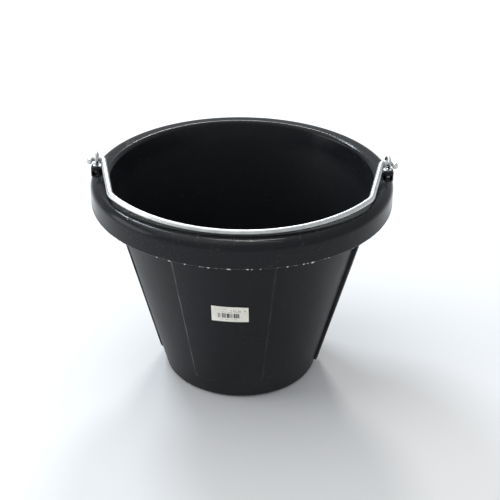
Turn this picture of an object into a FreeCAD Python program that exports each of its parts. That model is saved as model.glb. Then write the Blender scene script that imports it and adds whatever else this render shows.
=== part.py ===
"""Rubber feed bucket with a swinging wire bail.

Millimetres, +Z up.  The origin is the centre of the bucket's underside.  X runs along the bail's
pivot line and -Y is the front, where the bail lies when it is down.
"""
import FreeCAD
import Part
import math
import os

from FreeCAD import Vector

# ---- bucket shell ----
bucket_height = 232.0          # floor to the top of the rim
base_radius = 83.5             # outer radius of the wall where it meets the ground
wall_radius_top = 136.0        # outer radius of the wall just under the rim band
wall_thickness = 3.3           # measured level
floor_thickness = 8.0
base_edge_radius = 7.0
inner_corner_radius = 9.0

# ---- rim band ----
band_overhang = 24.0           # rim's outer face, outwards from the wall under the band
band_height = 28.0
shoulder_radius = 9.0          # outer top edge of the band
mouth_edge_radius = 3.0        # inner top edge
band_lower_radius = 2.0        # outer lower edge

# ---- raised panels on the wall ----
panel_root = 2.0               # how far a panel reaches into the wall it grows from
panel_corner_radius = 8.0
front_panel_angle = 47.0       # degrees round the wall
front_panel_bottom = 24.0      # height of the lower edge
front_panel_relief = 2.0
front_panel_edge_radius = 1.5
side_panel_angle = 26.0
side_panel_bottom = 12.0
side_panel_low_relief = 3.2    # at the lower edge
side_panel_top_relief = 4.6    # under the band
side_panel_edge_radius = 1.2
panel_turn = -7.5              # the panels are turned this much from the ear line

# ---- ears: a moulded lug, and an eye bolt through it ----
lug_inset = 6.5                # bolt axis, inwards from the rim's outer face
lug_length = 14.0              # along the rim
lug_side_wall = 1.4            # rubber each side of the nut pocket
lug_rise = 5.5                 # above the rim
lug_drop = 9.0                 # below the top of the rim, on the outer face
lug_corner_radius = 4.0
lug_top_radius = 1.8
shelf_thickness = 4.0          # rubber between the nut pocket and the lug's top
bolt_radius = 2.0
bolt_hole_clearance = 0.1
bolt_end_length = 1.2          # shank that stands out of the nut
bolt_tip_chamfer = 0.6
eye_wire_radius = 1.8
eye_play = 0.9                 # round the bail's wire, inside the eye
eye_turn = {"left": -3.0, "right": 15.0}   # front edge of each eye, turned outwards

# ---- washers and nuts ----
washer_radius = 4.5
washer_thickness = 0.8
nut_across_flats = 7.0
nut_height = 3.2
nut_chamfer = 0.4
nut_turn = 12.0                # degrees
thread_clearance = 0.05
pocket_clearance = 0.5         # round the nut and below it
pocket_lead = 7.0              # the pocket runs this far out of the lug's front face

# ---- bail ----
bail_wire_radius = 3.0
grip_inset = 17.0              # middle of the grip, inwards from the rim's outer face
grip_setback = 17.0            # the grip's arc is centred this far behind the pivot line
bail_shoulder_radius = 26.0
bail_arm_lean = 12.0           # degrees, arms leaning in towards the grip
bail_arm_clearance = 0.5       # between each arm and the widest eye
bail_hook_clearance = 0.6      # between each hooked tip and the widest eye
bail_inner_bend = 2.0          # inside of the bends at the ends
bail_hook_length = 3.0         # straight end after the last bend
bail_rest_clearance = 0.3      # over the rim and inside the eye

# ---- price label ----
label_width = 38.1
label_height = 21.2
label_paper = 0.25
label_adhesive = 0.1
label_middle_height = 128.5
label_turn = -4.5              # degrees from the front

# ---- places that follow from the sizes above ----
rim_radius = wall_radius_top + band_overhang
band_bottom = bucket_height - band_height
wall_slope = (wall_radius_top - base_radius) / band_bottom
bolt_x = rim_radius - lug_inset
nut_corner_radius = nut_across_flats / math.sqrt(3.0)
pocket_half_width = max(washer_radius, nut_corner_radius) + pocket_clearance
lug_half_width = pocket_half_width + lug_side_wall
lug_top = bucket_height + lug_rise
lug_lower_chamfer = 0.9 * lug_corner_radius
shelf_bottom = lug_top - shelf_thickness
nut_top = shelf_bottom - washer_thickness
nut_bottom = nut_top - nut_height
pocket_floor = nut_bottom - pocket_clearance
eye_seat = lug_top + washer_thickness
eye_inner_radius = bail_wire_radius + eye_play
eye_ring_radius = eye_inner_radius + eye_wire_radius
eye_middle = eye_seat + eye_wire_radius + eye_ring_radius
pivot_z = eye_middle - eye_inner_radius + bail_wire_radius + bail_rest_clearance
widest_turn = math.radians(max(abs(turn) for turn in eye_turn.values()))
eye_half_depth = eye_ring_radius * math.sin(widest_turn) + eye_wire_radius
bail_arm_x = bolt_x - eye_half_depth - bail_arm_clearance - bail_wire_radius
bail_hook_x = bolt_x + eye_half_depth + bail_hook_clearance + bail_wire_radius
bail_end_bend_radius = bail_inner_bend + bail_wire_radius
bail_reach = rim_radius - grip_inset
bail_grip_radius = bail_reach + grip_setback
bail_tip_rounding = 0.4 * bail_wire_radius
bail_rest_z = bucket_height + bail_wire_radius + bail_rest_clearance
bail_rest_angle = math.degrees(math.asin((pivot_z - bail_rest_z) / bail_reach))

UP = Vector(0, 0, 1)
ORIGIN = Vector(0, 0, 0)
SIDES = (("left", -1.0), ("right", 1.0))


def wall_radius(z):
    """Outer radius of the plain wall at height z."""
    return base_radius + wall_slope * z


def ring_edges(shape, radius, z):
    """Full-circle edges of the given radius at the given height."""
    found = []
    for edge in shape.Edges:
        curve = edge.Curve
        if isinstance(curve, Part.Circle) and abs(curve.Radius - radius) < 0.01:
            if abs(curve.Center.z - z) < 0.01:
                found.append(edge)
    return found


def revolved(corners, angle=360.0):
    """Solid swept about Z by a closed outline of (radius, height) corners."""
    points = [Vector(r, 0, z) for r, z in corners]
    outline = Part.makePolygon(points + points[:1])
    return Part.Face(outline).revolve(ORIGIN, UP, angle)


def shell():
    """Wall, floor and rim band as one turned solid with rounded edges."""
    mouth_radius = wall_radius(bucket_height) - wall_thickness
    floor_radius = wall_radius(floor_thickness) - wall_thickness
    solid = revolved([
        (0, 0),
        (base_radius, 0),
        (wall_radius_top, band_bottom),
        (rim_radius, band_bottom),
        (rim_radius, bucket_height),
        (mouth_radius, bucket_height),
        (floor_radius, floor_thickness),
        (0, floor_thickness),
    ])
    roundings = (
        (base_radius, 0, base_edge_radius),
        (rim_radius, band_bottom, band_lower_radius),
        (rim_radius, bucket_height, shoulder_radius),
        (mouth_radius, bucket_height, mouth_edge_radius),
        (floor_radius, floor_thickness, inner_corner_radius),
    )
    for radius, z, rounding in roundings:
        solid = solid.makeFillet(rounding, ring_edges(solid, radius, z))
    return solid


def wall_panel(middle_angle, width_angle, bottom, low_relief, top_relief, edge_radius):
    """Raised pad on the wall, from its lower edge up to the band, with rounded corners."""
    top = band_bottom
    solid = revolved([
        (wall_radius(bottom) - panel_root, bottom),
        (wall_radius(bottom) + low_relief, bottom),
        (wall_radius(top) + top_relief, top),
        (wall_radius(top) - panel_root, top),
    ], width_angle)
    corners = []
    for edge in solid.Edges:
        middle = edge.BoundBox.Center
        level = edge.BoundBox.ZLength < 0.01 and abs(middle.z - bottom) < 0.01
        if level and isinstance(edge.Curve, Part.Line):
            corners.append(edge)
    solid = solid.makeFillet(panel_corner_radius, corners)
    outer_face = max(solid.Faces, key=outer_reach)
    rim = [edge for edge in outer_face.Edges if edge.BoundBox.ZMin < top - 0.01]
    solid = solid.makeFillet(edge_radius, rim)
    solid.rotate(ORIGIN, UP, middle_angle - width_angle / 2.0)
    return solid


def outer_reach(face):
    """How far outside the plain wall the middle of a face lies."""
    u0, u1, v0, v1 = face.ParameterRange
    point = face.valueAt((u0 + u1) / 2.0, (v0 + v1) / 2.0)
    return math.hypot(point.x, point.y) - wall_radius(point.z)


def lug(side):
    """Rubber boss on the rim's shoulder, with the bolt hole and the pocket for the nut."""
    middle_x = side * bolt_x
    bottom = bucket_height - lug_drop
    corner = Vector(middle_x - lug_half_width, -lug_length / 2.0, bottom)
    block = Part.makeBox(2 * lug_half_width, lug_length, lug_top - bottom, corner)
    upright = [edge for edge in block.Edges if edge.BoundBox.ZLength > 1.0]
    block = block.makeFillet(lug_corner_radius, upright)
    top = [edge for edge in block.Edges if edge.BoundBox.ZMin > lug_top - 0.01]
    block = block.makeFillet(lug_top_radius, top)
    low = [edge for edge in block.Edges if edge.BoundBox.ZMax < bottom + 0.01]
    return block.makeChamfer(lug_lower_chamfer, low)


def ear_cuts(side):
    """What is taken out of an ear: the nut's pocket, open to the front, and the bolt's hole."""
    middle = Vector(side * bolt_x, 0, 0)
    front = lug_length / 2.0 + pocket_lead
    rise = shelf_bottom - pocket_floor
    corner = middle + Vector(-pocket_half_width, -front, pocket_floor)
    slot = Part.makeBox(2 * pocket_half_width, front, rise, corner)
    seat = Part.makeCylinder(pocket_half_width, rise, middle + UP * pocket_floor)
    well_radius = bolt_radius + pocket_clearance
    well_bottom = middle + UP * (pocket_floor - bolt_end_length)
    well = Part.makeCylinder(well_radius, bolt_end_length, well_bottom)
    hole_radius = bolt_radius + bolt_hole_clearance
    hole = Part.makeCylinder(hole_radius, lug_top - nut_bottom, middle + UP * nut_bottom)
    return [slot, seat, well, hole]


def bucket_body():
    """The whole rubber moulding."""
    solid = shell()
    front = (front_panel_angle, front_panel_bottom,
             front_panel_relief, front_panel_relief, front_panel_edge_radius)
    side_on = (side_panel_angle, side_panel_bottom,
               side_panel_low_relief, side_panel_top_relief, side_panel_edge_radius)
    for quarter in range(4):
        sizes = side_on if quarter % 2 else front
        solid = solid.fuse(wall_panel(-90.0 + panel_turn + 90.0 * quarter, *sizes))
    for _, side in SIDES:
        solid = solid.fuse(lug(side))
    for _, side in SIDES:
        for cut in ear_cuts(side):
            solid = solid.cut(cut)
    return solid.removeSplitter()


def eye_bolt(side, turn):
    """Closed eye on a plain shank that passes down through the lug, washers and nut."""
    middle = Vector(side * bolt_x, 0, 0)
    shank_bottom = nut_bottom - bolt_end_length
    shank_top = eye_seat + eye_wire_radius
    shank = Part.makeCylinder(bolt_radius, shank_top - shank_bottom, middle + UP * shank_bottom)
    tip = [edge for edge in shank.Edges if edge.BoundBox.ZMax < shank_bottom + 0.01]
    shank = shank.makeChamfer(bolt_tip_chamfer, tip)
    eye = Part.makeTorus(eye_ring_radius, eye_wire_radius, middle + UP * eye_middle, Vector(1, 0, 0))
    solid = shank.fuse(eye)
    solid.rotate(middle, UP, side * turn)
    return solid


def washer(side, bottom):
    """Plain round washer on the bolt."""
    base = Vector(side * bolt_x, 0, bottom)
    disc = Part.makeCylinder(washer_radius, washer_thickness, base)
    return disc.cut(Part.makeCylinder(bolt_radius + thread_clearance, washer_thickness, base))


def hex_nut(side):
    """Hexagon nut with both faces chamfered."""
    base = Vector(side * bolt_x, 0, nut_bottom)
    spoke = Vector(nut_corner_radius, 0, 0)
    corners = []
    for step in range(7):
        turned = FreeCAD.Rotation(UP, 60.0 * step + nut_turn)
        corners.append(base + turned.multVec(spoke))
    prism = Part.Face(Part.makePolygon(corners)).extrude(UP * nut_height)
    blank = Part.makeCylinder(nut_corner_radius, nut_height, base)
    rounds = [edge for edge in blank.Edges if isinstance(edge.Curve, Part.Circle)]
    blank = blank.makeChamfer(nut_chamfer, rounds)
    bore = Part.makeCylinder(bolt_radius + thread_clearance, nut_height, base)
    return prism.common(blank).cut(bore)


def bail_centreline():
    """Half of the bail's centreline, from the grip's middle to the hooked tip, lying flat.

    Points are (sideways, forwards) from the middle of the pivot line.
    """
    lean = math.radians(bail_arm_lean)
    along_x, along_y = -math.sin(lean), math.cos(lean)
    arm_x = bail_arm_x
    hook_x = bail_hook_x
    grip_centre = bail_reach - bail_grip_radius
    bend = bail_end_bend_radius
    turn = bail_shoulder_radius

    # shoulder: a circle inside the grip's arc, touching it and the arm
    start_x = arm_x - turn * along_y
    start_y = turn * along_x - grip_centre
    reach = bail_grip_radius - turn
    half = start_x * along_x + start_y * along_y
    travel = -half + math.sqrt(half * half - start_x ** 2 - start_y ** 2 + reach ** 2)
    centre_x = start_x + travel * along_x
    centre_y = start_y + travel * along_y
    on_arm = (arm_x + travel * along_x, travel * along_y)
    stretch = bail_grip_radius / reach
    on_grip = (centre_x * stretch, centre_y * stretch + grip_centre)
    mid_angle = (lean + math.atan2(centre_y, centre_x)) / 2.0
    shoulder_mid = (
        centre_x + turn * math.cos(mid_angle),
        centre_y + grip_centre + turn * math.sin(mid_angle),
    )

    # end bend: from the arm to the pivot line
    bend_run = bend * math.tan(math.pi / 4.0 - lean / 2.0)
    end_of_arm = (arm_x + bend_run * along_x, bend_run * along_y)
    bend_centre = (arm_x + bend_run, bend)
    bend_angle = math.radians(225.0) + lean / 2.0
    bend_mid = (
        bend_centre[0] + bend * math.cos(bend_angle),
        bend_centre[1] + bend * math.sin(bend_angle),
    )
    start_of_pivot = (arm_x + bend_run, 0.0)
    end_of_pivot = (hook_x - bend, 0.0)
    diagonal = bend * math.sqrt(0.5)
    hook_mid = (hook_x - bend + diagonal, bend - diagonal)
    hook_start = (hook_x, bend)
    hook_tip = (hook_x, bend + bail_hook_length)
    return {
        "grip": on_grip,
        "shoulder": (on_grip, shoulder_mid, on_arm),
        "arm": (on_arm, end_of_arm),
        "bend": (end_of_arm, bend_mid, start_of_pivot),
        "pivot": (start_of_pivot, end_of_pivot),
        "hook": (end_of_pivot, hook_mid, hook_start),
        "tip": (hook_start, hook_tip),
    }


def bail_path():
    """The bail's whole centreline as one flat wire, from tip to tip."""
    half = bail_centreline()

    def place(point, side):
        return Vector(side * point[0], -point[1], 0)

    def piece(points, side):
        spots = [place(point, side) for point in points]
        if side < 0:
            spots.reverse()
        if len(spots) == 2:
            return Part.LineSegment(*spots).toShape()
        return Part.Arc(*spots).toShape()

    order = ("shoulder", "arm", "bend", "pivot", "hook", "tip")
    edges = [piece(half[name], -1.0) for name in reversed(order)]
    middle = Vector(0, -bail_reach, 0)
    edges.append(Part.Arc(place(half["grip"], -1.0), middle, place(half["grip"], 1.0)).toShape())
    edges += [piece(half[name], 1.0) for name in order]
    return Part.Wire(edges)


def bail_handle():
    """Round wire along the centreline, lowered about the pivot line onto the front of the rim."""
    path = bail_path()
    tip = path.Edges[0]
    start = tip.valueAt(tip.FirstParameter)
    heading = tip.tangentAt(tip.FirstParameter)
    section = Part.Wire(Part.Circle(start, heading, bail_wire_radius).toShape())
    solid = path.makePipeShell([section], True, False)
    ends = [face for face in solid.Faces if isinstance(face.Surface, Part.Plane)]
    solid = solid.makeFillet(bail_tip_rounding, [edge for face in ends for edge in face.Edges])
    solid.rotate(ORIGIN, Vector(1, 0, 0), bail_rest_angle)
    solid.translate(UP * pivot_z)
    return solid


def price_label():
    """Paper label that follows the front panel's surface."""
    lean = math.atan(wall_slope)
    half_rise = label_height * math.cos(lean) / 2.0
    low = label_middle_height - half_rise
    high = label_middle_height + half_rise
    inside = front_panel_relief + label_adhesive
    outside = inside + label_paper
    width_angle = math.degrees(label_width / (wall_radius(label_middle_height) + outside))
    solid = revolved([
        (wall_radius(low) + inside, low),
        (wall_radius(low) + outside, low),
        (wall_radius(high) + outside, high),
        (wall_radius(high) + inside, high),
    ], width_angle)
    solid.rotate(ORIGIN, UP, -90.0 + label_turn - width_angle / 2.0)
    return solid


def write(node, solid):
    """Save one piece and say what it holds."""
    solid.exportStep(os.path.join("parts", node + ".step"))
    box = solid.BoundBox
    state = "valid" if solid.isValid() else "NOT VALID"
    print("%-20s %s, %d solid, %.1f mm3, x %.1f..%.1f y %.1f..%.1f z %.1f..%.1f" % (
        node, state, len(solid.Solids), solid.Volume,
        box.XMin, box.XMax, box.YMin, box.YMax, box.ZMin, box.ZMax))


def main():
    os.makedirs("parts", exist_ok=True)
    write("bucket_body", bucket_body())
    write("bail_handle", bail_handle())
    for name, side in SIDES:
        write(name + "_eye_bolt", eye_bolt(side, eye_turn[name]))
        write(name + "_upper_washer", washer(side, lug_top))
        write(name + "_lower_washer", washer(side, nut_top))
        write(name + "_nut", hex_nut(side))
    write("price_label", price_label())
    print("pivot height %.3f, rest angle %.3f degrees" % (pivot_z, bail_rest_angle))


main()
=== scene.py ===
"""Feed bucket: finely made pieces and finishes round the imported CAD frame.

Metres, +Z up, the same frame as the CAD part: the origin is the middle of the bucket's underside,
X runs along the bail's pivot line and the front is towards -Y.
"""
import math
import random

import bmesh
import bpy
from mathutils import Matrix, Vector


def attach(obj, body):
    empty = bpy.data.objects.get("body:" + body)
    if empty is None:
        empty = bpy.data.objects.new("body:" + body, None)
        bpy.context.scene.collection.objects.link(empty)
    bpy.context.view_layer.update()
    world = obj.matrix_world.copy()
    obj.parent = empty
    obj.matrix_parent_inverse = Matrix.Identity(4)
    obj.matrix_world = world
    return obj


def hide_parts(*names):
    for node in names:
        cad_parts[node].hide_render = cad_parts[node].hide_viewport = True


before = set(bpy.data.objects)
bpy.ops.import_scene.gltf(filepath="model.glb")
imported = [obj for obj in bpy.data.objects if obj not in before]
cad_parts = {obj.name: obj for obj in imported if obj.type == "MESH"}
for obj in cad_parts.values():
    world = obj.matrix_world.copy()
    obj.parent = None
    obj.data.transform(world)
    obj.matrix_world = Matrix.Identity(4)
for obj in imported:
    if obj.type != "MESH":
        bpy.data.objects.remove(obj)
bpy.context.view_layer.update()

MM = 0.001

# ---- bucket moulding ----
rim_top = 232 * MM
base_radius = 83.5 * MM
wall_top_radius = 136 * MM
wall_thickness = 3.3 * MM
floor_thickness = 8 * MM
rim_radius = 160 * MM
band_bottom = 204 * MM
wall_slope = (wall_top_radius - base_radius) / band_bottom
wall_lean = math.atan(wall_slope)
mouth_radius = base_radius + wall_slope * rim_top - wall_thickness
inner_floor_radius = base_radius + wall_slope * floor_thickness - wall_thickness

base_rounding = 7 * MM
band_lower_rounding = 2 * MM
shoulder_rounding = 9 * MM
mouth_rounding = 3 * MM
inner_rounding = 9 * MM

panel_root = 2 * MM
panel_corner = 8 * MM
panel_turn = math.radians(-7.5)
front_relief = 2 * MM
front_pad = {"half_angle": math.radians(23.5), "bottom": 24 * MM, "low_relief": front_relief,
             "top_relief": front_relief, "edge_rounding": 1.5 * MM}
side_pad = {"half_angle": math.radians(13), "bottom": 12 * MM, "low_relief": 3.2 * MM,
            "top_relief": 4.6 * MM, "edge_rounding": 1.2 * MM}

# ---- ears ----
bolt_x = 153.5 * MM
lug_half_width = 6.4 * MM
lug_length = 14 * MM
lug_top = 237.5 * MM
lug_bottom = 223 * MM
lug_corner = 4 * MM
lug_top_rounding = 1.8 * MM
lug_foot_chamfer = 3.6 * MM
shelf_bottom = 233.5 * MM
washer_radius = 4.5 * MM
washer_thickness = 0.8 * MM
nut_height = 3.2 * MM
nut_corner_radius = 7 * MM / math.sqrt(3)
nut_turn = math.radians(12)
nut_bottom = shelf_bottom - washer_thickness - nut_height
pocket_half_width = 5 * MM
pocket_floor = nut_bottom - 0.5 * MM
pocket_lead = 7 * MM
bolt_radius = 2 * MM
bolt_end = 1.2 * MM
thread_pitch = 0.7 * MM
thread_depth = 0.28 * MM
bore_radius = bolt_radius + 0.05 * MM
hole_radius = bolt_radius + 0.1 * MM
well_radius = bolt_radius + 0.5 * MM
eye_wire = 1.8 * MM
eye_ring = 5.7 * MM
eye_seat = lug_top + washer_thickness
eye_middle = eye_seat + eye_wire + eye_ring
eye_turns = {"left": math.radians(-3), "right": math.radians(15)}
sides = {"left": -1, "right": 1}

# ---- bail ----
wire_radius = 3 * MM
pivot_z = 245.2 * MM
bail_reach = 143 * MM
grip_radius = 160 * MM
bail_shoulder = 26 * MM
arm_lean = math.radians(12)
eye_half_depth = eye_ring * math.sin(eye_turns["right"]) + eye_wire
arm_x = bolt_x - eye_half_depth - 0.5 * MM - wire_radius
hook_x = bolt_x + eye_half_depth + 0.6 * MM + wire_radius
end_bend = 5 * MM
hook_length = 3 * MM
rest_height = rim_top + wire_radius + 0.3 * MM
rest_angle = math.asin((pivot_z - rest_height) / bail_reach)

# ---- price label ----
label_width = 38.1 * MM
label_height = 21.2 * MM
label_paper = 0.25 * MM
label_gap = 0.1 * MM
label_middle = 128.5 * MM
label_turn = math.radians(-4.5)

# ---- fineness of the meshes, and the selection slack ----
round_steps = 288
form_steps = 720
blank_y = -0.25
hair = 0.01 * MM


# ======== camera and studio ========

def camera():
    """Stands in front of the bucket, above it, and looks down; metres, radians and lens millimetres."""
    distance = 1.1244
    height = 0.7575
    azimuth = 0.0160
    tilt = 0.5035
    aim = 0.0077
    roll = 0.0124
    focal = 84.2
    data = bpy.data.cameras.new("camera")
    data.lens = focal
    data.sensor_width = 36
    stand = bpy.data.objects.new("camera", data)
    bpy.context.scene.collection.objects.link(stand)
    stand.location = (distance * math.sin(azimuth), -distance * math.cos(azimuth), height)
    turn = Matrix.Rotation(aim, 3, "Z") @ Matrix.Rotation(math.pi / 2 - tilt, 3, "X")
    stand.rotation_euler = (turn @ Matrix.Rotation(roll, 3, "Z")).to_euler()
    bpy.context.scene.camera = stand


def soft_light(name, place, aim, width, height, power, colour):
    """A rectangular softbox pointed at a spot."""
    data = bpy.data.lights.new(name, "AREA")
    data.shape = "RECTANGLE"
    data.size = width
    data.size_y = height
    data.energy = power
    data.color = colour
    lamp = bpy.data.objects.new(name, data)
    bpy.context.scene.collection.objects.link(lamp)
    lamp.location = place
    lamp.rotation_euler = (Vector(aim) - Vector(place)).to_track_quat("-Z", "Y").to_euler()


def studio():
    """Pale floor, an even pale surround, softboxes above and at the left, and two lamps behind."""
    scene = bpy.context.scene
    scene.view_settings.view_transform = "Standard"
    world = bpy.data.worlds.new("studio")
    world.use_nodes = True
    sky = world.node_tree.nodes["Background"]
    sky.inputs["Color"].default_value = (0.93, 0.96, 1.0, 1)
    sky.inputs["Strength"].default_value = 0.62
    scene.world = world
    middle = (0, 0, 0.15)
    soft_light("overhead_softbox", (-0.7, 0.1, 2.3), middle, 2.2, 2.2, 12, (1.0, 0.99, 0.97))
    soft_light("ceiling_lamp", (0.06, 2.2, 2.1), middle, 0.5, 0.2, 24, (1.0, 0.99, 0.96))
    soft_light("high_window", (-0.95, 1.6, 2.0), middle, 0.7, 0.24, 28, (0.80, 0.90, 1.0))
    soft_light("left_softbox", (-2.2, -0.2, 0.8), middle, 1.4, 1.2, 16, (0.95, 0.98, 1.0))
    bpy.ops.mesh.primitive_plane_add(size=24)
    floor = bpy.context.object
    floor.name = "studio_floor"
    floor.data.materials.append(pale_floor())


# ======== modelling helpers ========

def rest_all():
    """Nothing selected, in object mode."""
    if bpy.context.object and bpy.context.object.mode != "OBJECT":
        bpy.ops.object.mode_set(mode="OBJECT")
    bpy.ops.object.select_all(action="DESELECT")


def hold(piece):
    """Only this piece is selected and active."""
    rest_all()
    piece.select_set(True)
    bpy.context.view_layer.objects.active = piece


def pick(kind, test):
    """In edit mode, select only the vertices, edges or faces whose middle and normal pass the test."""
    mesh = bmesh.from_edit_mesh(bpy.context.object.data)
    bpy.ops.mesh.select_mode(type=kind)
    bpy.ops.mesh.select_all(action="DESELECT")
    elements = {"VERT": mesh.verts, "EDGE": mesh.edges, "FACE": mesh.faces}[kind]
    for element in elements:
        if test(element):
            element.select = True
    mesh.select_flush_mode()
    bmesh.update_edit_mesh(bpy.context.object.data)


def ring_at(radius, z, slack=0.02 * MM):
    """A test for edges that lie on a level circle round the middle axis."""
    def test(edge):
        for vertex in edge.verts:
            if abs(vertex.co.z - z) > slack:
                return False
            if abs(math.hypot(vertex.co.x, vertex.co.y) - radius) > slack:
                return False
        return True
    return test


def extrude_ring(rise, growth, centre=(0, 0, 0)):
    """Extrude the selected ring of edges upwards, then size it by a factor about the centre."""
    bpy.ops.mesh.extrude_edges_move(TRANSFORM_OT_translate={"value": (0, 0, rise)})
    bpy.ops.transform.resize(value=(growth, growth, 1), center_override=centre)


def apply_modifier(piece, kind, **settings):
    """Add one modifier with these settings and apply it."""
    hold(piece)
    modifier = piece.modifiers.new(kind.lower(), kind)
    for name, value in settings.items():
        setattr(modifier, name, value)
    bpy.ops.object.modifier_apply(modifier=modifier.name)


def combine(piece, tool, operation, solver="EXACT"):
    """Join a tool shape into a piece, or cut it away, and drop the tool."""
    apply_modifier(piece, "BOOLEAN", object=tool, operation=operation, solver=solver)
    bpy.data.objects.remove(tool)


def settle(piece, angle=32):
    """Put the place into the mesh, close doubles, turn faces outwards and smooth up to an angle."""
    hold(piece)
    bpy.ops.object.transform_apply(location=True, rotation=True, scale=True)
    bpy.ops.object.mode_set(mode="EDIT")
    bpy.ops.mesh.select_all(action="SELECT")
    bpy.ops.mesh.remove_doubles(threshold=0.002 * MM)
    bpy.ops.mesh.normals_make_consistent(inside=False)
    bpy.ops.object.mode_set(mode="OBJECT")
    bpy.ops.object.shade_smooth_by_angle(angle=math.radians(angle))


def finished(piece, name, body, node, material):
    """Name a piece, give it its finish, tie it to its body, and hide the CAD node that it stands in
    for.
    """
    piece.name = name
    piece.data.name = name
    piece.data.materials.clear()
    piece.data.materials.append(material)
    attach(piece, body)
    if node:
        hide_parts(node)
    return piece


def fillet_run(radius, angle):
    """How far along each face a rounding of this radius starts, for the angle between the faces."""
    return radius / math.tan(angle / 2)


# ======== bucket moulding ========

def shell():
    """Floor, wall and rim band, drawn up ring by ring, with its corners rounded."""
    rest_all()
    bpy.ops.mesh.primitive_circle_add(
        vertices=round_steps, radius=base_radius, fill_type="NGON", location=(0, 0, 0))
    piece = bpy.context.object
    bpy.ops.object.mode_set(mode="EDIT")
    outline = [
        (wall_top_radius, band_bottom),
        (rim_radius, band_bottom),
        (rim_radius, rim_top),
        (mouth_radius, rim_top),
        (inner_floor_radius, floor_thickness),
    ]
    pick("EDGE", ring_at(base_radius, 0))
    radius, z = base_radius, 0
    for next_radius, next_z in outline:
        extrude_ring(next_z - z, next_radius / radius)
        radius, z = next_radius, next_z
    bpy.ops.mesh.edge_face_add()
    square = math.pi / 2
    roundings = [
        (base_radius, 0, base_rounding, square + wall_lean, 5),
        (rim_radius, band_bottom, band_lower_rounding, square, 4),
        (rim_radius, rim_top, shoulder_rounding, square, 10),
        (mouth_radius, rim_top, mouth_rounding, square - wall_lean, 6),
        (inner_floor_radius, floor_thickness, inner_rounding, square + wall_lean, 6),
    ]
    for radius, z, rounding, angle, steps in roundings:
        pick("EDGE", ring_at(radius, z))
        bpy.ops.mesh.bevel(offset=fillet_run(rounding, angle), segments=steps,
                           affect="EDGES", clamp_overlap=False)
    bpy.ops.object.mode_set(mode="OBJECT")
    settle(piece)
    return piece


def round_form(foot_radius, slope):
    """Plain cone that panels and the label are pressed onto."""
    rest_all()
    rise = band_bottom + 6 * MM
    bpy.ops.mesh.primitive_cone_add(
        vertices=form_steps, radius1=foot_radius, radius2=foot_radius + slope * rise,
        depth=rise, location=(0, 0, rise / 2))
    return bpy.context.object


def press_on(piece, form):
    """Push a flat blank, standing in front of the bucket, back onto a round form."""
    apply_modifier(piece, "SHRINKWRAP", target=form, wrap_method="PROJECT",
                   use_project_x=False, use_project_y=True, use_project_z=False,
                   use_negative_direction=True, use_positive_direction=True)
    bpy.data.objects.remove(form)


def wall_panel(turn, half_angle, bottom, low_relief, top_relief, edge_rounding):
    """One raised pad: a flat blank with rounded lower corners, pressed onto the wall."""
    tuck = 1 * MM
    top = band_bottom + tuck
    slope = wall_slope + (top_relief - low_relief) / (band_bottom - bottom)
    foot_radius = base_radius + low_relief - (slope - wall_slope) * bottom
    top_half = (foot_radius + slope * top) * math.sin(half_angle)
    bottom_half = (foot_radius + slope * bottom) * math.sin(half_angle)
    rest_all()
    bpy.ops.mesh.primitive_plane_add(
        size=1, rotation=(math.pi / 2, 0, 0), location=(0, blank_y, (top + bottom) / 2))
    piece = bpy.context.object
    piece.scale = (2 * top_half, top - bottom, 1)
    bpy.ops.object.transform_apply(location=True, rotation=True, scale=True)
    bpy.ops.object.mode_set(mode="EDIT")
    pick("VERT", lambda v: v.co.z < bottom + 1 * MM)
    bpy.ops.transform.resize(
        value=(bottom_half / top_half, 1, 1), center_override=(0, blank_y, bottom))
    bpy.ops.mesh.bevel(offset=panel_corner, segments=7, affect="VERTICES")
    apex = (0, 0, -foot_radius / slope)
    column_width = math.radians(0.9)
    columns = round(half_angle / column_width)
    plain_edge = 3
    for column in range(plain_edge - columns, columns - plain_edge + 1):
        spread = math.sin(half_angle * column / columns) * slope
        bpy.ops.mesh.select_all(action="SELECT")
        bpy.ops.mesh.bisect(plane_co=apex, plane_no=(1, 0, -spread))
    bpy.ops.object.mode_set(mode="OBJECT")
    press_on(piece, round_form(foot_radius, slope))
    apply_modifier(piece, "SOLIDIFY", thickness=low_relief + panel_root, offset=-1)
    settle(piece, 40)
    hold(piece)
    bpy.ops.object.mode_set(mode="EDIT")

    def outer_edge(edge):
        """Where the pad's outer face meets its sides and its lower end."""
        sharp = math.radians(46)
        if len(edge.link_faces) != 2 or edge.calc_face_angle(0) < sharp:
            return False
        middle = (edge.verts[0].co + edge.verts[1].co) / 2
        off_wall = math.hypot(middle.x, middle.y) - base_radius - wall_slope * middle.z
        upright = abs(edge.verts[0].co.z - edge.verts[1].co.z) > 5 * MM
        return off_wall > 1 * MM and (upright or middle.z < band_bottom - tuck)
    pick("EDGE", outer_edge)
    bpy.ops.mesh.bevel(offset=edge_rounding, segments=5, affect="EDGES")
    bpy.ops.object.mode_set(mode="OBJECT")
    piece.rotation_euler = (0, 0, turn)
    settle(piece, 40)
    return piece


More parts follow.
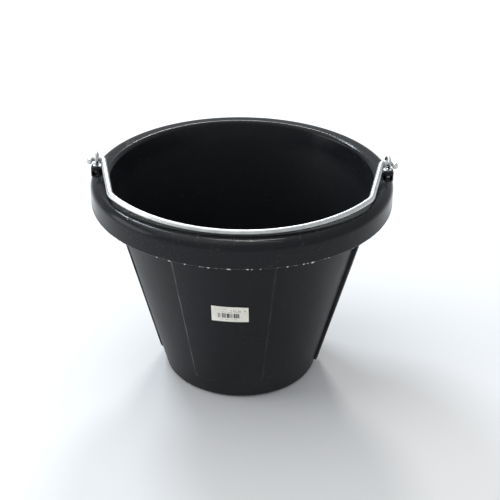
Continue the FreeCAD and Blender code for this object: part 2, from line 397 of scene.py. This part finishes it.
def lug(side):
    """Boss on the rim's shoulder that carries an eye bolt."""
    rest_all()
    bpy.ops.mesh.primitive_cube_add(
        size=1, location=(side * bolt_x, 0, (lug_top + lug_bottom) / 2))
    piece = bpy.context.object
    piece.scale = (2 * lug_half_width, lug_length, lug_top - lug_bottom)
    bpy.ops.object.transform_apply(location=True, rotation=True, scale=True)
    bpy.ops.object.mode_set(mode="EDIT")
    pick("EDGE", lambda e: abs(e.verts[0].co.z - e.verts[1].co.z) > 5 * MM)
    bpy.ops.mesh.bevel(offset=lug_corner, segments=8, affect="EDGES")
    pick("EDGE", lambda e: min(v.co.z for v in e.verts) > lug_top - 0.1 * MM)
    bpy.ops.mesh.bevel(offset=lug_top_rounding, segments=5, affect="EDGES")
    pick("EDGE", lambda e: max(v.co.z for v in e.verts) < lug_bottom + 0.1 * MM)
    bpy.ops.mesh.bevel(offset=lug_foot_chamfer, segments=1, affect="EDGES")
    bpy.ops.object.mode_set(mode="OBJECT")
    return piece


def pocket(side):
    """The space for nut and bolt end: a round-backed slot open to the front, a hole and a well."""
    front = lug_length / 2 + pocket_lead
    rise = shelf_bottom - pocket_floor
    middle_z = (shelf_bottom + pocket_floor) / 2
    rest_all()
    bpy.ops.mesh.primitive_cylinder_add(
        vertices=64, radius=pocket_half_width, depth=rise, location=(side * bolt_x, 0, middle_z))
    piece = bpy.context.object
    bpy.ops.object.transform_apply(location=True)
    bpy.ops.object.mode_set(mode="EDIT")
    pick("FACE", lambda f: abs(f.normal.z) < 0.5 and f.calc_center_median().y < 0)
    bpy.ops.mesh.extrude_region_move(TRANSFORM_OT_translate={"value": (0, -front, 0)})
    bpy.ops.transform.resize(value=(1, 0, 1), center_override=(side * bolt_x, -front, middle_z))
    bpy.ops.object.mode_set(mode="OBJECT")
    settle(piece)
    shafts = [
        (well_radius, pocket_floor - bolt_end, pocket_floor + 1 * MM),
        (hole_radius, shelf_bottom - 1 * MM, lug_top + 1 * MM),
    ]
    for radius, bottom, top in shafts:
        rest_all()
        bpy.ops.mesh.primitive_cylinder_add(
            vertices=40, radius=radius, depth=top - bottom,
            location=(side * bolt_x, 0, (top + bottom) / 2))
        combine(piece, bpy.context.object, "UNION")
    return piece


def bucket(material):
    """The whole rubber moulding as one piece."""
    piece = shell()
    for quarter in range(4):
        turn = panel_turn + quarter * math.pi / 2
        panel = wall_panel(turn, **(side_pad if quarter % 2 else front_pad))
        combine(piece, panel, "UNION", "FAST")
    for side in sides.values():
        combine(piece, lug(side), "UNION")
    for side in sides.values():
        combine(piece, pocket(side), "DIFFERENCE")
    settle(piece, 35)
    apply_modifier(piece, "WEIGHTED_NORMAL", keep_sharp=True)
    return finished(piece, "bucket_moulding", "bucket", "bucket_body", material)


def flash_ridge(material):
    """Thin ragged ridge of flash that runs round the lower edge of the band."""
    sunk = 0.85 * MM
    raised = 0.75 * MM
    rest_all()
    bpy.ops.mesh.primitive_torus_add(
        major_radius=rim_radius - sunk, minor_radius=0.5 * MM,
        major_segments=1400, minor_segments=6, location=(0, 0, band_bottom + raised))
    piece = bpy.context.object
    bpy.ops.object.transform_apply(location=True)
    ragged = bpy.data.textures.new("ragged", "CLOUDS")
    ragged.noise_scale = 3.5 * MM
    ragged.noise_depth = 4
    apply_modifier(piece, "DISPLACE", texture=ragged, texture_coords="LOCAL",
                   strength=0.9 * MM, mid_level=0.62)
    settle(piece)
    return finished(piece, "flash_ridge", "bucket", None, material)


def torn_flecks(material):
    """Small torn crumbs of flash, most of them along the front of the band's lower edge."""
    draw = random.Random(7)
    flatness = 0.55
    least_sunk = 0.6 * MM
    others = 46
    front = [(-30, 1.0), (-25, 1.1), (-19, 1.0), (-13.5, 0.8), (-10.5, 0.9), (-3.5, 1.9),
             (3, 1.0), (4.5, 0.8), (7.5, 0.8), (17, 1.2), (23, 1.0), (24.5, 0.9),
             (26.5, 1.3), (33, 0.9)]
    spots = front.copy()
    for _ in range(others):
        spots.append((draw.uniform(38, 322), draw.uniform(0.5, 1.1)))
    crumbs = []
    for degrees, size in spots:
        angle = math.radians(degrees)
        half_length = 1.05 * MM * size
        half_depth = flatness * half_length
        radius = rim_radius - max(half_depth, least_sunk)
        rest_all()
        bpy.ops.mesh.primitive_ico_sphere_add(
            subdivisions=2, radius=half_length,
            location=(radius * math.sin(angle), -radius * math.cos(angle),
                      band_bottom + draw.uniform(0.5, 1.0) * MM),
            rotation=(0, draw.uniform(-0.3, 0.3), angle))
        crumb = bpy.context.object
        crumb.scale = (draw.uniform(1.0, 1.7), flatness, draw.uniform(0.6, 1.0))
        bpy.ops.object.transform_apply(location=True, rotation=True, scale=True)
        crumbs.append(crumb)
    rest_all()
    for crumb in crumbs:
        crumb.select_set(True)
    bpy.context.view_layer.objects.active = crumbs[0]
    bpy.ops.object.join()
    piece = bpy.context.object
    ragged = bpy.data.textures.new("torn", "CLOUDS")
    ragged.noise_scale = 0.9 * MM
    apply_modifier(piece, "DISPLACE", texture=ragged, texture_coords="LOCAL",
                   strength=0.7 * MM, mid_level=0.6)
    settle(piece, 60)
    return finished(piece, "torn_flecks", "bucket", None, material)


# ======== hardware ========

def eye_bolt(name, material):
    """Round eye on a shank whose lower end is threaded."""
    side, turn = sides[name], eye_turns[name]
    middle = Vector((side * bolt_x, 0, 0))
    low = nut_bottom - bolt_end
    rest_all()
    bpy.ops.mesh.primitive_circle_add(
        vertices=32, radius=bolt_radius - thread_depth * 2, fill_type="NGON",
        location=middle + Vector((0, 0, low)))
    piece = bpy.context.object
    bpy.ops.object.transform_apply(location=True)
    bpy.ops.object.mode_set(mode="EDIT")
    bpy.ops.mesh.select_mode(type="EDGE")
    bpy.ops.mesh.select_all(action="SELECT")
    root = bolt_radius - thread_depth
    radius = bolt_radius - thread_depth * 2
    turns = 5
    run_out = 0.2 * MM
    for _ in range(turns):
        for next_radius, share in ((bolt_radius, 0.4), (bolt_radius, 0.1), (root, 0.4), (root, 0.1)):
            extrude_ring(thread_pitch * share, next_radius / radius, middle)
            radius = next_radius
    top = eye_seat + eye_wire
    extrude_ring(run_out, bolt_radius / radius, middle)
    extrude_ring(top - low - turns * thread_pitch - run_out, 1, middle)
    bpy.ops.mesh.edge_face_add()
    bpy.ops.object.mode_set(mode="OBJECT")
    settle(piece)
    rest_all()
    bpy.ops.mesh.primitive_torus_add(
        major_radius=eye_ring, minor_radius=eye_wire, major_segments=72, minor_segments=24,
        rotation=(0, math.pi / 2, side * turn), location=middle + Vector((0, 0, eye_middle)))
    combine(piece, bpy.context.object, "UNION")
    settle(piece, 40)
    return finished(piece, name + "_eye_bolt_made", "bucket", name + "_eye_bolt",
                    material)


def washer(name, which, bottom, material):
    """Punched washer with slightly rounded outer edges."""
    middle = Vector((sides[name] * bolt_x, 0, 0))
    rest_all()
    bpy.ops.mesh.primitive_circle_add(
        vertices=64, radius=washer_radius, location=middle + Vector((0, 0, bottom)))
    piece = bpy.context.object
    bpy.ops.object.transform_apply(location=True)
    bpy.ops.object.mode_set(mode="EDIT")
    bpy.ops.mesh.select_all(action="SELECT")
    extrude_ring(0, bore_radius / washer_radius, middle)
    extrude_ring(washer_thickness, 1, middle)
    extrude_ring(0, washer_radius / bore_radius, middle)
    bpy.ops.mesh.select_all(action="DESELECT")
    pick("EDGE", lambda e: len(e.link_faces) == 1)
    bpy.ops.mesh.bridge_edge_loops()

    def outer_rings(edge):
        """The two outer circles."""
        level = abs(edge.verts[0].co.z - edge.verts[1].co.z) < hair
        rim = washer_radius - 0.05 * MM
        return level and all((v.co - middle).xy.length > rim for v in edge.verts)
    pick("EDGE", outer_rings)
    bpy.ops.mesh.bevel(offset=0.18 * MM, segments=2, affect="EDGES")
    bpy.ops.object.mode_set(mode="OBJECT")
    settle(piece)
    return finished(piece, name + "_" + which + "_washer_made", "bucket",
                    name + "_" + which + "_washer", material)


def nut(name, material):
    """Hexagon nut with rounded-off corners and a plain round bore."""
    middle = Vector((sides[name] * bolt_x, 0, nut_bottom + nut_height / 2))
    rest_all()
    bpy.ops.mesh.primitive_cylinder_add(
        vertices=6, radius=nut_corner_radius, depth=nut_height, location=middle,
        rotation=(0, 0, nut_turn + math.pi / 6))
    piece = bpy.context.object
    bpy.ops.object.transform_apply(location=True, rotation=True)
    rest_all()
    bpy.ops.mesh.primitive_cylinder_add(
        vertices=72, radius=nut_corner_radius, depth=nut_height, location=middle)
    blank = bpy.context.object
    bpy.ops.object.transform_apply(location=True)
    bpy.ops.object.mode_set(mode="EDIT")
    pick("EDGE", lambda e: abs(e.verts[0].co.z - e.verts[1].co.z) < 0.1 * MM)
    bpy.ops.mesh.bevel(offset=0.42 * MM, segments=2, affect="EDGES")
    bpy.ops.object.mode_set(mode="OBJECT")
    combine(piece, blank, "INTERSECT")
    rest_all()
    bpy.ops.mesh.primitive_cylinder_add(
        vertices=40, radius=bore_radius, depth=nut_height * 2, location=middle)
    combine(piece, bpy.context.object, "DIFFERENCE")
    settle(piece, 30)
    return finished(piece, name + "_nut_made", "bucket", name + "_nut", material)


# ======== bail ========

def bail(material):
    """One length of round wire, bent from the right-hand tip to the middle and mirrored."""
    bend = end_bend
    tip_y = -bend - hook_length
    along = Vector((-math.sin(arm_lean), -math.cos(arm_lean)))
    grip_centre = Vector((0, grip_radius - bail_reach))
    bend_run = bend * math.tan(math.pi / 4 - arm_lean / 2)
    arm_start = Vector((arm_x, 0)) + along * bend_run

    # the shoulder's bend touches the arm and, from inside, the grip's arc
    inward = Vector((along.y, -along.x))
    offset = Vector((arm_x, 0)) + inward * bail_shoulder - grip_centre
    reach = grip_radius - bail_shoulder
    half = offset.dot(along)
    travel = -half + math.sqrt(half * half - offset.length_squared + reach * reach)
    shoulder_centre = grip_centre + offset + along * travel
    arm_end = Vector((arm_x, 0)) + along * travel
    outwards = (shoulder_centre - grip_centre).normalized()
    shoulder_turn = (arm_end - shoulder_centre).angle(outwards)
    grip_turn = outwards.angle(Vector((0, -1)))

    rest_all()
    bpy.ops.mesh.primitive_circle_add(
        vertices=28, radius=wire_radius, fill_type="NGON", rotation=(math.pi / 2, 0, 0),
        location=(hook_x, tip_y, 0))
    piece = bpy.context.object
    bpy.ops.object.transform_apply(location=True, rotation=True)
    bpy.ops.object.mode_set(mode="EDIT")
    bpy.ops.mesh.select_mode(type="EDGE")
    bpy.ops.mesh.select_all(action="SELECT")

    def straight(step):
        """Draw the wire straight on."""
        bpy.ops.mesh.extrude_edges_move(TRANSFORM_OT_translate={"value": (step[0], step[1], 0)})

    def curved(centre, angle, steps):
        """Bend the wire round a centre."""
        bpy.ops.mesh.spin(
            steps=steps, angle=-angle, center=(centre[0], centre[1], 0), axis=(0, 0, 1))

    straight((0, hook_length))
    curved((hook_x - bend, -bend), math.pi / 2, 10)
    straight((arm_x + bend_run - hook_x + bend, 0))
    curved((arm_x + bend_run, -bend), math.pi / 2 - arm_lean, 10)
    straight(arm_end - arm_start)
    curved(shoulder_centre, -shoulder_turn, 14)
    curved(grip_centre, -grip_turn, 36)
    bpy.ops.object.mode_set(mode="OBJECT")
    apply_modifier(piece, "MIRROR", use_clip=True, merge_threshold=hair)
    hold(piece)
    bpy.ops.object.mode_set(mode="EDIT")
    pick("EDGE", lambda e: all(abs(v.co.y - tip_y) < hair and abs(v.co.x) > hook_x - 2 * wire_radius
                               for v in e.verts))
    bpy.ops.mesh.bevel(offset=0.9 * MM, segments=4, affect="EDGES")
    bpy.ops.object.mode_set(mode="OBJECT")
    piece.rotation_euler = (rest_angle, 0, 0)
    piece.location = (0, 0, pivot_z)
    settle(piece, 40)
    return finished(piece, "bail_wire", "bail", "bail_handle", material)


# ======== price label ========

def label(material):
    """Paper label pressed onto the front panel, with one corner starting to lift."""
    height = label_height * math.cos(wall_lean)
    rest_all()
    bpy.ops.mesh.primitive_grid_add(
        x_subdivisions=48, y_subdivisions=26, size=1,
        rotation=(math.pi / 2, 0, 0), location=(0, blank_y, label_middle))
    piece = bpy.context.object
    form = round_form(base_radius + front_relief + label_gap, wall_slope)
    radius = base_radius + wall_slope * label_middle + front_relief + label_gap + label_paper
    chord = 2 * radius * math.sin(label_width / radius / 2)
    piece.scale = (chord, height, 1)
    hold(piece)
    bpy.ops.object.transform_apply(location=True, rotation=True, scale=True)
    press_on(piece, form)
    hold(piece)
    bpy.ops.object.mode_set(mode="EDIT")
    corners = [(1, 1, 0.55 * MM, 9 * MM), (-1, -1, 0.3 * MM, 7 * MM)]
    for across, up, lift, reach in corners:
        spot = Vector((across * chord / 2, 0, label_middle + up * height / 2))
        pick("VERT", lambda v: abs(v.co.x - spot.x) + abs(v.co.z - spot.z) < reach * 0.25)
        bpy.ops.transform.translate(value=(0, -lift, 0), use_proportional_edit=True,
                                    proportional_edit_falloff="SMOOTH", proportional_size=reach)
    bpy.ops.object.mode_set(mode="OBJECT")
    apply_modifier(piece, "SOLIDIFY", thickness=label_paper, offset=1)
    piece.rotation_euler = (0, 0, label_turn)
    settle(piece, 40)
    return finished(piece, "paper_label", "bucket", "price_label", material)


# ======== finishes ========

def node(tree, kind, values=None, **settings):
    """One shader node with its settings and input values."""
    made = tree.nodes.new(kind)
    for name, value in settings.items():
        setattr(made, name, value)
    for name, value in (values or {}).items():
        made.inputs[name].default_value = value
    return made


def ramp(tree, source, low, high, low_value=0.0, high_value=1.0):
    """A value mapped from one range to another, held at the ends."""
    made = node(tree, "ShaderNodeMapRange", {"From Min": low, "From Max": high,
                                             "To Min": low_value, "To Max": high_value})
    tree.links.new(source, made.inputs["Value"])
    return made.outputs["Result"]


def calculate(tree, operation, first, second=0):
    """One value worked out from one or two; either may be a number."""
    made = node(tree, "ShaderNodeMath", operation=operation)
    for socket, value in zip(made.inputs, (first, second)):
        if isinstance(value, (int, float)):
            socket.default_value = value
        else:
            tree.links.new(value, socket)
    return made.outputs[0]


def times(tree, first, second):
    """The product of two values."""
    return calculate(tree, "MULTIPLY", first, second)


def plus(tree, first, second):
    """The sum of two values."""
    return calculate(tree, "ADD", first, second)


def blend_colour(tree, share, first, second):
    """Two colours mixed by a share; either may be a fixed colour."""
    made = node(tree, "ShaderNodeMix", data_type="RGBA")
    for socket, value in ((made.inputs[6], first), (made.inputs[7], second)):
        if isinstance(value, tuple):
            socket.default_value = value
        else:
            tree.links.new(value, socket)
    tree.links.new(share, made.inputs[0])
    return made.outputs[2]


def noise(tree, where, scale, detail=4.0, roughness=0.55, stretch=None):
    """A cloudy pattern, stretched if wanted."""
    if stretch:
        mapping = node(tree, "ShaderNodeMapping", {"Scale": stretch})
        tree.links.new(where, mapping.inputs["Vector"])
        where = mapping.outputs["Vector"]
    made = node(tree, "ShaderNodeTexNoise", {"Scale": scale, "Detail": detail, "Roughness": roughness})
    tree.links.new(where, made.inputs["Vector"])
    return made.outputs["Fac"]


def group(name, inputs, outputs):
    """An empty node group with named inputs and outputs."""
    tree = bpy.data.node_groups.new(name, "ShaderNodeTree")
    for socket_name, kind, value in inputs:
        socket = tree.interface.new_socket(socket_name, in_out="INPUT", socket_type=kind)
        socket.default_value = value
    for socket_name in outputs:
        tree.interface.new_socket(socket_name, in_out="OUTPUT", socket_type="NodeSocketFloat")
    return tree, node(tree, "NodeGroupInput"), node(tree, "NodeGroupOutput")


def scratches_group():
    """Short fine scratches that lie two ways and come in patches."""
    tree, entry, leave = group(
        "scratches",
        [("Vector", "NodeSocketVector", (0, 0, 0)), ("Scale", "NodeSocketFloat", 60.0),
         ("Amount", "NodeSocketFloat", 0.5)],
        ["Mask"])
    layers = []
    for turn, stretch in (((0.3, 0.9, 0.4), (1, 0.035, 1)), ((1.1, 0.2, 2.1), (0.03, 1, 1))):
        mapping = node(tree, "ShaderNodeMapping", {"Rotation": turn, "Scale": stretch})
        tree.links.new(entry.outputs["Vector"], mapping.inputs["Vector"])
        lines = node(tree, "ShaderNodeTexNoise", {"Detail": 1.0, "Roughness": 0.4})
        tree.links.new(mapping.outputs["Vector"], lines.inputs["Vector"])
        tree.links.new(entry.outputs["Scale"], lines.inputs["Scale"])
        layers.append(ramp(tree, lines.outputs["Fac"], 0.69, 0.74))
    both = calculate(tree, "MAXIMUM", layers[0], layers[1])
    patches = ramp(tree, noise(tree, entry.outputs["Vector"], 17.0, 3.0), 0.5, 0.62)
    kept = times(tree, both, patches)
    tree.links.new(times(tree, kept, entry.outputs["Amount"]), leave.inputs["Mask"])
    return tree


def mottle_group():
    """Broad cloudy patches with finer speckle in them, for dust, bloom and dulled zinc."""
    tree, entry, leave = group(
        "mottle",
        [("Vector", "NodeSocketVector", (0, 0, 0)), ("Scale", "NodeSocketFloat", 20.0),
         ("Speckle", "NodeSocketFloat", 0.4)],
        ["Patches", "Speckles"])
    broad = node(tree, "ShaderNodeTexNoise", {"Detail": 5.0, "Roughness": 0.6})
    fine = node(tree, "ShaderNodeTexNoise", {"Detail": 2.0, "Roughness": 0.5})
    for made, factor in ((broad, 1.0), (fine, 14.0)):
        tree.links.new(entry.outputs["Vector"], made.inputs["Vector"])
        tree.links.new(times(tree, entry.outputs["Scale"], factor), made.inputs["Scale"])
    tree.links.new(ramp(tree, broad.outputs["Fac"], 0.35, 0.68), leave.inputs["Patches"])
    dots = ramp(tree, fine.outputs["Fac"], 0.6, 0.72)
    tree.links.new(times(tree, dots, entry.outputs["Speckle"]), leave.inputs["Speckles"])
    return tree


shared = {"scratches": scratches_group(), "mottle": mottle_group()}


def place_group(tree, name, where, **values):
    """A shared effect placed in a material with its own values."""
    made = node(tree, "ShaderNodeGroup")
    made.node_tree = shared[name]
    tree.links.new(where, made.inputs["Vector"])
    for socket_name, value in values.items():
        made.inputs[socket_name.capitalize()].default_value = value
    return made.outputs


def new_material(name, **constants):
    """A material with its shader, its tree and the place on the piece."""
    material = bpy.data.materials.new(name)
    material.use_nodes = True
    tree = material.node_tree
    shader = tree.nodes["Principled BSDF"]
    for socket_name, value in constants.items():
        shader.inputs[socket_name.replace("_", " ")].default_value = value
    where = node(tree, "ShaderNodeTexCoord").outputs["Object"]
    return material, tree, shader, where


def bump(tree, shader, height, distance, strength=1.0):
    """Feed a height into the shader's normal."""
    made = node(tree, "ShaderNodeBump", {"Strength": strength, "Distance": distance})
    tree.links.new(height, made.inputs["Height"])
    tree.links.new(made.outputs["Normal"], shader.inputs["Normal"])


def painted_edge_highlights(tree, place):
    """Thin pale lines painted along the upright edges of the raised pads as their highlight, stronger
    on the left-hand side where the light falls.
    """
    forwards = times(tree, place["Y"], -1)
    around = calculate(tree, "SUBTRACT", calculate(tree, "ARCTAN2", place["X"], forwards), panel_turn)
    from_middle = calculate(tree, "PINGPONG", around, math.pi / 2)
    lines = []
    for pad, middle in ((front_pad, 0), (side_pad, math.pi / 2)):
        edge = abs(middle - pad["half_angle"])
        off = calculate(tree, "ABSOLUTE", calculate(tree, "SUBTRACT", from_middle, edge))
        line = ramp(tree, off, math.radians(0.5), math.radians(1.1), 1.0, 0.0)
        on_pad = within(tree, place["Z"], pad["bottom"], band_bottom)
        lines.append(times(tree, line, on_pad))
    squares = [calculate(tree, "POWER", place[axis], 2) for axis in "XY"]
    from_axis = calculate(tree, "SQRT", plus(tree, *squares))
    mid_wall = plus(tree, times(tree, place["Z"], wall_slope), base_radius - wall_thickness / 2)
    outside = calculate(tree, "GREATER_THAN", from_axis, mid_wall)
    # painted highlight: the edge lines are strongest on the left, where the light falls
    lit_side = ramp(tree, place["X"], -0.03, 0.03, 1.0, 0.2)
    return times(tree, plus(tree, *lines), times(tree, outside, lit_side))


def moulded_rubber():
    """Black rubber with a soft sheen: clouded bloom and dusty patches, paler towards the bottom,
    painted light on the rim top, pale pad edges as a painted highlight, and scuffs.
    """
    # the paler tone serves both for dusty patches and for the painted light on the rim top
    clean, dust_and_painted_light_tone = (0.0095, 0.0101, 0.0124, 1), (0.022, 0.0225, 0.0235, 1)
    speck, scratch = (0.22, 0.22, 0.21, 1), (0.16, 0.165, 0.17, 1)
    edge_highlight_tone = (0.085, 0.088, 0.088, 1)
    wall_end, band_start = 0.2, 0.215
    material, tree, shader, where = new_material("moulded_rubber")
    shader.inputs["Specular IOR Level"].default_value = 0.17
    link = tree.links.new
    apart = node(tree, "ShaderNodeSeparateXYZ")
    link(where, apart.inputs["Vector"])
    height = apart.outputs["Z"]
    mottle = place_group(tree, "mottle", where, scale=9.0, speckle=0.7)
    marks = place_group(tree, "scratches", where, scale=420.0, amount=1.0)

    # paler towards the bottom, and paler on the rim top as painted light from above, on top of patchy
    # dusting everywhere
    paler_low_down = ramp(tree, height, 0.0, 0.09, 0.9, 0.0)
    painted_rim_top_light = ramp(tree, height, 0.226, 0.233, 0.0, 0.45)
    dust_and_painted_light_share = plus(tree, plus(tree, paler_low_down, painted_rim_top_light), 0.25)
    colour = blend_colour(tree, times(tree, mottle["Patches"], dust_and_painted_light_share), clean, dust_and_painted_light_tone)
    colour = blend_colour(tree, times(tree, mottle["Speckles"], 0.02), colour, speck)
    colour = blend_colour(tree, times(tree, marks["Mask"], 0.13), colour, scratch)
    # pale lines painted along the pad edges as a highlight, broken up by noise
    broken = ramp(tree, noise(tree, where, 45.0), 0.35, 0.6)
    edge_highlight = times(tree, painted_edge_highlights(tree, apart.outputs), broken)
    link(blend_colour(tree, edge_highlight, colour, edge_highlight_tone), shader.inputs["Base Color"])

    patchy = ramp(tree, mottle["Patches"], 0.0, 1.0, 0.0, 0.07)
    matt = plus(tree, patchy, ramp(tree, height, wall_end, band_start, 0.42, 0.15))
    link(plus(tree, matt, times(tree, marks["Mask"], 0.2)), shader.inputs["Roughness"])

    polish = ramp(tree, height, wall_end, band_start, 1.0, 0.3)
    waves = times(tree, noise(tree, where, 26.0, 2.0, 0.4), 0.55)
    grain = times(tree, noise(tree, where, 900.0, 3.0, 0.6), times(tree, polish, 0.06))
    pits = times(tree, noise(tree, where, 170.0, 3.0, 0.6), times(tree, polish, 0.14))
    relief = plus(tree, waves, plus(tree, grain, pits))
    relief = calculate(tree, "SUBTRACT", relief, times(tree, marks["Mask"], 0.25))
    bump(tree, shader, relief, 0.6 * MM)
    return material


def pale_flash(name, pale_share):
    """Torn rubber that has gone pale where it was pulled."""
    material, tree, shader, where = new_material(name)
    torn = ramp(tree, noise(tree, where, 140.0, 4.0, 0.7), pale_share, pale_share + 0.12)
    colour = blend_colour(tree, torn, (0.03, 0.032, 0.035, 1), (0.62, 0.63, 0.62, 1))
    tree.links.new(colour, shader.inputs["Base Color"])
    tree.links.new(ramp(tree, torn, 0.0, 1.0, 0.5, 0.75), shader.inputs["Roughness"])
    bump(tree, shader, noise(tree, where, 1400.0, 3.0), 0.15 * MM, 0.6)
    return material


def galvanised():
    """Drawn and galvanised wire: clouded zinc, lines along the draw and dull scrapes."""
    material, tree, shader, where = new_material("galvanised_wire", Metallic=1.0)
    link = tree.links.new
    mottle = place_group(tree, "mottle", where, scale=90.0, speckle=0.6)
    marks = place_group(tree, "scratches", where, scale=1500.0, amount=0.8)
    colour = blend_colour(tree, mottle["Patches"], (0.56, 0.575, 0.575, 1), (0.74, 0.755, 0.75, 1))
    colour = blend_colour(tree, times(tree, mottle["Speckles"], 0.5), colour, (0.36, 0.365, 0.355, 1))
    link(colour, shader.inputs["Base Color"])
    dull = ramp(tree, mottle["Patches"], 0.0, 1.0, 0.42, 0.32)
    link(plus(tree, dull, times(tree, marks["Mask"], 0.15)), shader.inputs["Roughness"])
    drawn = noise(tree, where, 420.0, 3.0, 0.5, stretch=(0.12, 1, 1))
    relief = plus(tree, drawn, times(tree, mottle["Patches"], 0.8))
    bump(tree, shader, calculate(tree, "SUBTRACT", relief, marks["Mask"]), 0.09 * MM, 0.7)
    return material


def zinc_plate():
    """Bright zinc plate gone dull in places, with dark specks of grime and a trace of rust."""
    material, tree, shader, where = new_material("zinc_plate", Metallic=1.0)
    link = tree.links.new
    mottle = place_group(tree, "mottle", where, scale=160.0, speckle=0.8)
    marks = place_group(tree, "scratches", where, scale=2400.0, amount=0.8)
    colour = blend_colour(tree, mottle["Patches"], (0.50, 0.515, 0.52, 1), (0.78, 0.79, 0.78, 1))
    rust = ramp(tree, noise(tree, where, 240.0, 5.0, 0.7), 0.63, 0.72, 0.0, 0.55)
    colour = blend_colour(tree, rust, colour, (0.16, 0.085, 0.04, 1))
    colour = blend_colour(tree, times(tree, mottle["Speckles"], 0.5), colour, (0.12, 0.12, 0.12, 1))
    link(colour, shader.inputs["Base Color"])
    dull = ramp(tree, mottle["Patches"], 0.0, 1.0, 0.38, 0.22)
    link(plus(tree, dull, times(tree, rust, 0.5)), shader.inputs["Roughness"])
    relief = calculate(tree, "SUBTRACT", mottle["Patches"], plus(tree, marks["Mask"], rust))
    bump(tree, shader, relief, 0.06 * MM, 0.7)
    return material


def stepped(tree, value, count):
    """A value cut into a number of equal steps."""
    return calculate(tree, "FLOOR", times(tree, value, count))


def within(tree, value, low, high):
    """One inside a range of a value, nought outside it."""
    above = calculate(tree, "GREATER_THAN", value, low)
    return times(tree, above, calculate(tree, "LESS_THAN", value, high))


def chance(tree, *values):
    """An even chance from nought to one, fixed for each set of steps."""
    joined = node(tree, "ShaderNodeCombineXYZ")
    for socket, value in zip(joined.inputs, values):
        if isinstance(value, (int, float)):
            socket.default_value = value
        else:
            tree.links.new(value, socket)
    made = node(tree, "ShaderNodeTexWhiteNoise", noise_dimensions="3D")
    tree.links.new(joined.outputs[0], made.inputs["Vector"])
    return made.outputs["Value"]


def printed_paper():
    """Off-white label stock with a block of upright bars and rows of short dashes, nothing readable."""
    material, tree, shader, where = new_material("printed_paper", Roughness=0.62)
    link = tree.links.new
    shader.inputs["Specular IOR Level"].default_value = 0.3
    sheet = node(tree, "ShaderNodeSeparateXYZ")
    link(node(tree, "ShaderNodeTexCoord").outputs["UV"], sheet.inputs["Vector"])
    across, up = sheet.outputs["X"], sheet.outputs["Y"]
    bars = calculate(tree, "GREATER_THAN", chance(tree, stepped(tree, across, 92), 3), 0.42)
    groups = calculate(tree, "GREATER_THAN", chance(tree, stepped(tree, across, 11), 8), 0.18)
    block = times(tree, within(tree, across, 0.17, 0.80), within(tree, up, 0.26, 0.56))
    printed = times(tree, times(tree, bars, groups), block)
    rows = [
        (0.80, 0.87, 0.10, 0.44, 0.35),
        (0.72, 0.79, 0.52, 0.93, 0.85),
        (0.62, 0.68, 0.22, 0.80, 0.5),
        (0.12, 0.18, 0.24, 0.74, 0.45),
        (0.06, 0.10, 0.70, 0.92, 0.35),
    ]
    worn_ink = chance(tree, stepped(tree, across, 160), stepped(tree, up, 60))
    ragged = calculate(tree, "GREATER_THAN", worn_ink, 0.25)
    for low, high, left, right, ink in rows:
        row_chance = chance(tree, stepped(tree, across, 54), low * 40)
        dashes = calculate(tree, "GREATER_THAN", row_chance, 0.38)
        box = times(tree, within(tree, up, low, high), within(tree, across, left, right))
        row = times(tree, times(tree, times(tree, dashes, ragged), box), ink)
        printed = calculate(tree, "MAXIMUM", printed, row)
    stain = ramp(tree, noise(tree, where, 70.0, 5.0, 0.6), 0.42, 0.66)
    paper = blend_colour(tree, stain, (0.93, 0.905, 0.82, 1), (0.84, 0.80, 0.70, 1))
    colour = blend_colour(tree, times(tree, printed, 0.9), paper, (0.035, 0.033, 0.04, 1))
    link(colour, shader.inputs["Base Color"])
    fibres = noise(tree, where, 1500.0, 4.0, 0.6)
    bump(tree, shader, plus(tree, fibres, times(tree, stain, 2.0)), 0.04 * MM, 0.5)
    return material


def pale_floor():
    """Even pale floor with the faintest cloudiness."""
    material, tree, shader, where = new_material("pale_floor", Roughness=0.8)
    shader.inputs["Specular IOR Level"].default_value = 0.15
    cloud = noise(tree, where, 3.0, 3.0)
    tree.links.new(blend_colour(tree, cloud, (0.86, 0.86, 0.855, 1), (0.90, 0.90, 0.90, 1)),
                   shader.inputs["Base Color"])
    return material


# ======== making it ========

camera()
studio()
rubber = moulded_rubber()
zinc = zinc_plate()
bucket(rubber)
flash_ridge(pale_flash("pale_flash_ridge", 0.54))
torn_flecks(pale_flash("pale_torn_flecks", 0.24))
bail(galvanised())
for ear in sides:
    eye_bolt(ear, zinc)
    washer(ear, "upper", lug_top, zinc)
    washer(ear, "lower", shelf_bottom - washer_thickness, zinc)
    nut(ear, zinc)
label(printed_paper())
rest_all()
